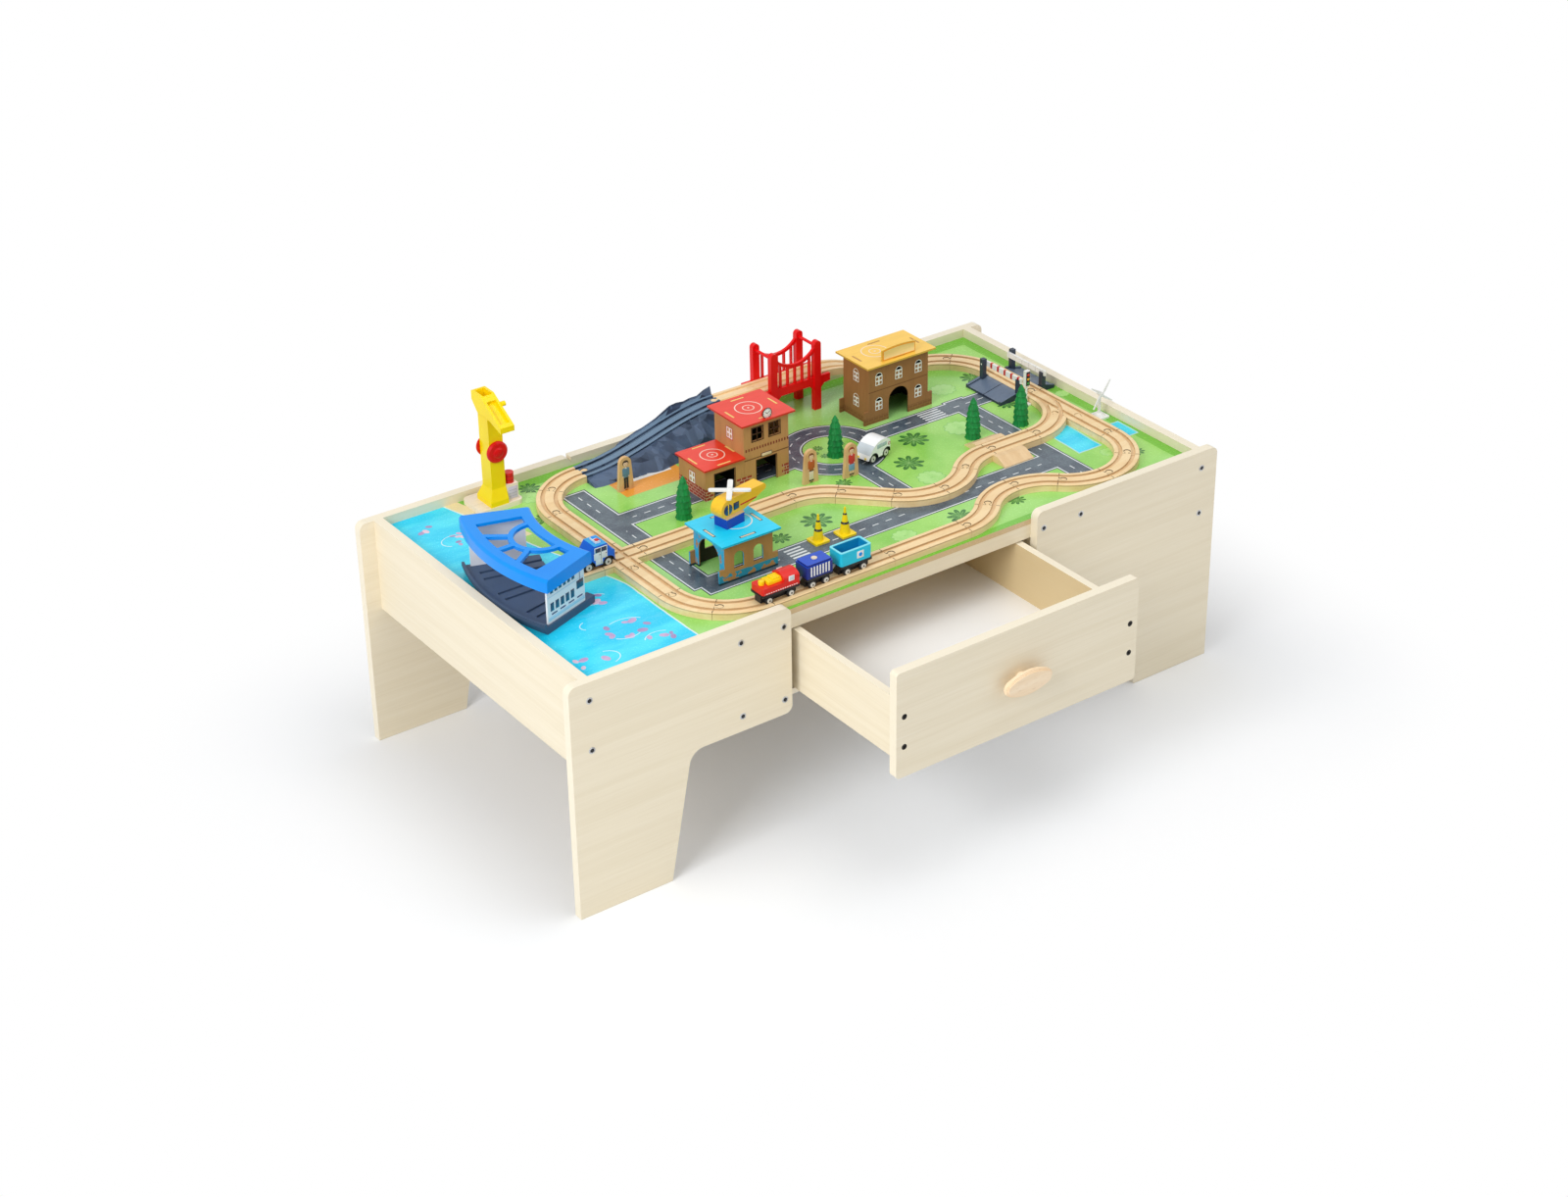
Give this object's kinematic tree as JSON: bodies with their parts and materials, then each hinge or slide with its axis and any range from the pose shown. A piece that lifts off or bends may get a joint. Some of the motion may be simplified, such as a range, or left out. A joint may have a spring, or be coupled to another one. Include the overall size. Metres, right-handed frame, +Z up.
{
  "type": "train table",
  "caption": "Low wooden play table on four leg panels, with an open drawer and a board that carries a grooved toy track layout, a bridge line, small buildings and rolling vehicles.",
  "frame": {"origin": "on the floor, under the middle of the outline with the drawer standing open", "axes": "+X along the length of the table to the right of someone facing the drawer, -Y the way the drawer opens, +Z up"},
  "size_m": [1.2, 0.858, 0.5503],
  "materials": {
    "birch_panel": "clear satin lacquer, long pale grain",
    "printed_board": "printed fibreboard under gloss lacquer",
    "steel_bolt": "zinc plated",
    "white_board": "white laminate",
    "turned_beech": "clear satin lacquer",
    "beech_track": "sanded, thin lacquer",
    "slate_plastic": "moulded, fine texture",
    "red_plastic": "moulded, semi gloss",
    "white_plastic": "moulded or painted white",
    "barrier_paint": "painted white with red squares",
    "blue_plastic": "moulded, semi gloss",
    "cream_plastic": "moulded, with a red barrel",
    "yellow_plastic": "moulded, semi gloss",
    "brown_plywood": "printed plywood with laser-dark edges",
    "red_plywood": "printed plywood",
    "cyan_plywood": "printed plywood",
    "amber_plywood": "printed plywood",
    "sign_paint": "painted wood",
    "helicopter_paint": "painted wood on a blue stand",
    "tree_paint": "painted green",
    "printed_beech": "printed wood",
    "loco_paint": "gloss paint",
    "box_wagon_paint": "gloss paint",
    "hopper_paint": "gloss paint",
    "patrol_paint": "gloss paint",
    "white_car_paint": "gloss paint",
    "black_wheel": "moulded, with a pale hub"
  },
  "bodies": {
    "table": {"front_left_leg_panel": "birch_panel", "front_right_leg_panel": "birch_panel", "rear_left_leg_panel": "birch_panel", "rear_right_leg_panel": "birch_panel", "end_panels": "birch_panel", "front_rail": "birch_panel", "rear_infill_panel": "birch_panel", "play_board": "printed_board", "board_supports": "birch_panel", "panel_bolts": "steel_bolt", "straight_tracks": "beech_track", "curved_tracks": "beech_track", "crossing_track": "beech_track", "switch_track": "beech_track", "rock_ramp": "slate_plastic", "bridge_frame": "red_plastic", "shed_base": "slate_plastic", "shed_walls": "white_plastic", "shed_roof": "blue_plastic", "crane_base": "cream_plastic", "crane_tower": "yellow_plastic", "red_station_walls": "brown_plywood", "red_station_roofs": "red_plywood", "blue_station_walls": "brown_plywood", "blue_station_roof": "cyan_plywood", "yellow_station_walls": "brown_plywood", "yellow_station_roof": "amber_plywood", "crossing_ramps": "slate_plastic", "road_signs": "sign_paint", "turbine_mast": "white_plastic", "helicopter_body": "helicopter_paint", "trees": "tree_paint", "figures": "printed_beech", "road_ramps": "beech_track"},
    "drawer": {"drawer_front": "birch_panel", "drawer_box": "birch_panel", "drawer_bottom": "white_board", "drawer_pull": "turned_beech", "drawer_screws": "steel_bolt"},
    "jib": {"crane_jib": "yellow_plastic"},
    "winch": {"crane_winch": "red_plastic"},
    "near_barrier": {"near_barrier": "barrier_paint"},
    "far_barrier": {"far_barrier": "barrier_paint"},
    "turbine_rotor": {"turbine_rotor": "white_plastic"},
    "helicopter_rotor": {"helicopter_rotor": "white_plastic"},
    "loco": {"loco_body": "loco_paint"},
    "box_wagon": {"box_wagon_body": "box_wagon_paint"},
    "hopper_wagon": {"hopper_wagon_body": "hopper_paint"},
    "patrol_car": {"patrol_car_body": "patrol_paint"},
    "white_car": {"white_car_body": "white_car_paint"},
    "loco_front_wheels": {"loco_front_wheels": "black_wheel"},
    "loco_rear_wheels": {"loco_rear_wheels": "black_wheel"},
    "box_front_wheels": {"box_front_wheels": "black_wheel"},
    "box_rear_wheels": {"box_rear_wheels": "black_wheel"},
    "hopper_front_wheels": {"hopper_front_wheels": "black_wheel"},
    "hopper_rear_wheels": {"hopper_rear_wheels": "black_wheel"},
    "patrol_front_wheels": {"patrol_front_wheels": "black_wheel"},
    "patrol_rear_wheels": {"patrol_rear_wheels": "black_wheel"},
    "white_front_wheels": {"white_front_wheels": "black_wheel"},
    "white_rear_wheels": {"white_rear_wheels": "black_wheel"}
  },
  "joints": [
    {"name": "drawer_slide", "type": "slide", "parent": "table", "child": "drawer", "axis": [0, -1, 0], "range_m": [-0.2345, 0.12]},
    {"name": "train_roll", "type": "slide", "parent": "table", "child": "loco", "axis": [1, 0, 0], "range_m": [0, 0.16]},
    {"name": "box_wagon_roll", "type": "slide", "parent": "table", "child": "box_wagon", "axis": [1, 0, 0], "range_m": [0, 0.16]},
    {"name": "hopper_wagon_roll", "type": "slide", "parent": "table", "child": "hopper_wagon", "axis": [1, 0, 0], "range_m": [0, 0.16]},
    {"name": "loco_front_wheels_spin", "type": "hinge", "parent": "loco", "child": "loco_front_wheels", "pos_m": [-0.245, -0.129, 0.3812], "axis": [0, 1, 0], "range_deg": [-10, 1320]},
    {"name": "loco_rear_wheels_spin", "type": "hinge", "parent": "loco", "child": "loco_rear_wheels", "pos_m": [-0.207, -0.129, 0.3812], "axis": [0, 1, 0], "range_deg": [-10, 1320]},
    {"name": "box_front_wheels_spin", "type": "hinge", "parent": "box_wagon", "child": "box_front_wheels", "pos_m": [-0.169, -0.129, 0.3812], "axis": [0, 1, 0], "range_deg": [-10, 1320]},
    {"name": "box_rear_wheels_spin", "type": "hinge", "parent": "box_wagon", "child": "box_rear_wheels", "pos_m": [-0.145, -0.129, 0.3812], "axis": [0, 1, 0], "range_deg": [-10, 1320]},
    {"name": "hopper_front_wheels_spin", "type": "hinge", "parent": "hopper_wagon", "child": "hopper_front_wheels", "pos_m": [-0.1065, -0.129, 0.3812], "axis": [0, 1, 0], "range_deg": [-10, 1320]},
    {"name": "hopper_rear_wheels_spin", "type": "hinge", "parent": "hopper_wagon", "child": "hopper_rear_wheels", "pos_m": [-0.0775, -0.129, 0.3812], "axis": [0, 1, 0], "range_deg": [-10, 1320]},
    {"name": "patrol_roll", "type": "slide", "parent": "table", "child": "patrol_car", "axis": [1, 0, 0], "range_m": [-0.12, 0.06]},
    {"name": "patrol_front_wheels_spin", "type": "hinge", "parent": "patrol_car", "child": "patrol_front_wheels", "pos_m": [-0.3665, 0.105, 0.3827], "axis": [0, 1, 0], "range_deg": [-820, 415]},
    {"name": "patrol_rear_wheels_spin", "type": "hinge", "parent": "patrol_car", "child": "patrol_rear_wheels", "pos_m": [-0.3995, 0.105, 0.3827], "axis": [0, 1, 0], "range_deg": [-820, 415]},
    {"name": "white_car_roll", "type": "slide", "parent": "table", "child": "white_car", "axis": [0.9744, 0.225, 0], "range_m": [-0.02, 0.05]},
    {"name": "white_front_wheels_spin", "type": "hinge", "parent": "white_car", "child": "white_front_wheels", "pos_m": [0.14588, 0.14351, 0.3737], "axis": [-0.225, 0.9744, 0], "range_deg": [-140, 350]},
    {"name": "white_rear_wheels_spin", "type": "hinge", "parent": "white_car", "child": "white_rear_wheels", "pos_m": [0.17608, 0.15049, 0.3737], "axis": [-0.225, 0.9744, 0], "range_deg": [-140, 350]},
    {"name": "jib_swivel", "type": "hinge", "parent": "table", "child": "jib", "pos_m": [-0.39, 0.373, 0.518], "axis": [0, 0, 1], "continuous": true},
    {"name": "winch_turn", "type": "hinge", "parent": "table", "child": "winch", "pos_m": [-0.39, 0.373, 0.461], "axis": [0, 1, 0], "continuous": true},
    {"name": "near_barrier_lift", "type": "hinge", "parent": "table", "child": "near_barrier", "pos_m": [0.47685, 0.253, 0.401], "axis": [-1, 0, 0], "range_deg": [0, 80]},
    {"name": "far_barrier_lift", "type": "hinge", "parent": "table", "child": "far_barrier", "pos_m": [0.52715, 0.253, 0.401], "axis": [-1, 0, 0], "range_deg": [0, 80]},
    {"name": "turbine_spin", "type": "hinge", "parent": "table", "child": "turbine_rotor", "pos_m": [0.54, 0.039, 0.407], "axis": [0, 1, 0], "continuous": true},
    {"name": "helicopter_rotor_spin", "type": "hinge", "parent": "table", "child": "helicopter_rotor", "pos_m": [-0.20789, 0.00686, 0.484], "axis": [0, 0, 1], "continuous": true}
  ],
  "couplings": [
    {"joint": "box_wagon_roll", "follows": "train_roll", "ratio": 1},
    {"joint": "hopper_wagon_roll", "follows": "train_roll", "ratio": 1},
    {"joint": "loco_front_wheels_spin", "follows": "train_roll", "rad_per_m": 142.86},
    {"joint": "loco_rear_wheels_spin", "follows": "train_roll", "rad_per_m": 142.86},
    {"joint": "box_front_wheels_spin", "follows": "train_roll", "rad_per_m": 142.86},
    {"joint": "box_rear_wheels_spin", "follows": "train_roll", "rad_per_m": 142.86},
    {"joint": "hopper_front_wheels_spin", "follows": "train_roll", "rad_per_m": 142.86},
    {"joint": "hopper_rear_wheels_spin", "follows": "train_roll", "rad_per_m": 142.86},
    {"joint": "patrol_front_wheels_spin", "follows": "patrol_roll", "rad_per_m": 117.65},
    {"joint": "patrol_rear_wheels_spin", "follows": "patrol_roll", "rad_per_m": 117.65},
    {"joint": "white_front_wheels_spin", "follows": "white_car_roll", "rad_per_m": 117.65},
    {"joint": "white_rear_wheels_spin", "follows": "white_car_roll", "rad_per_m": 117.65}
  ]
}
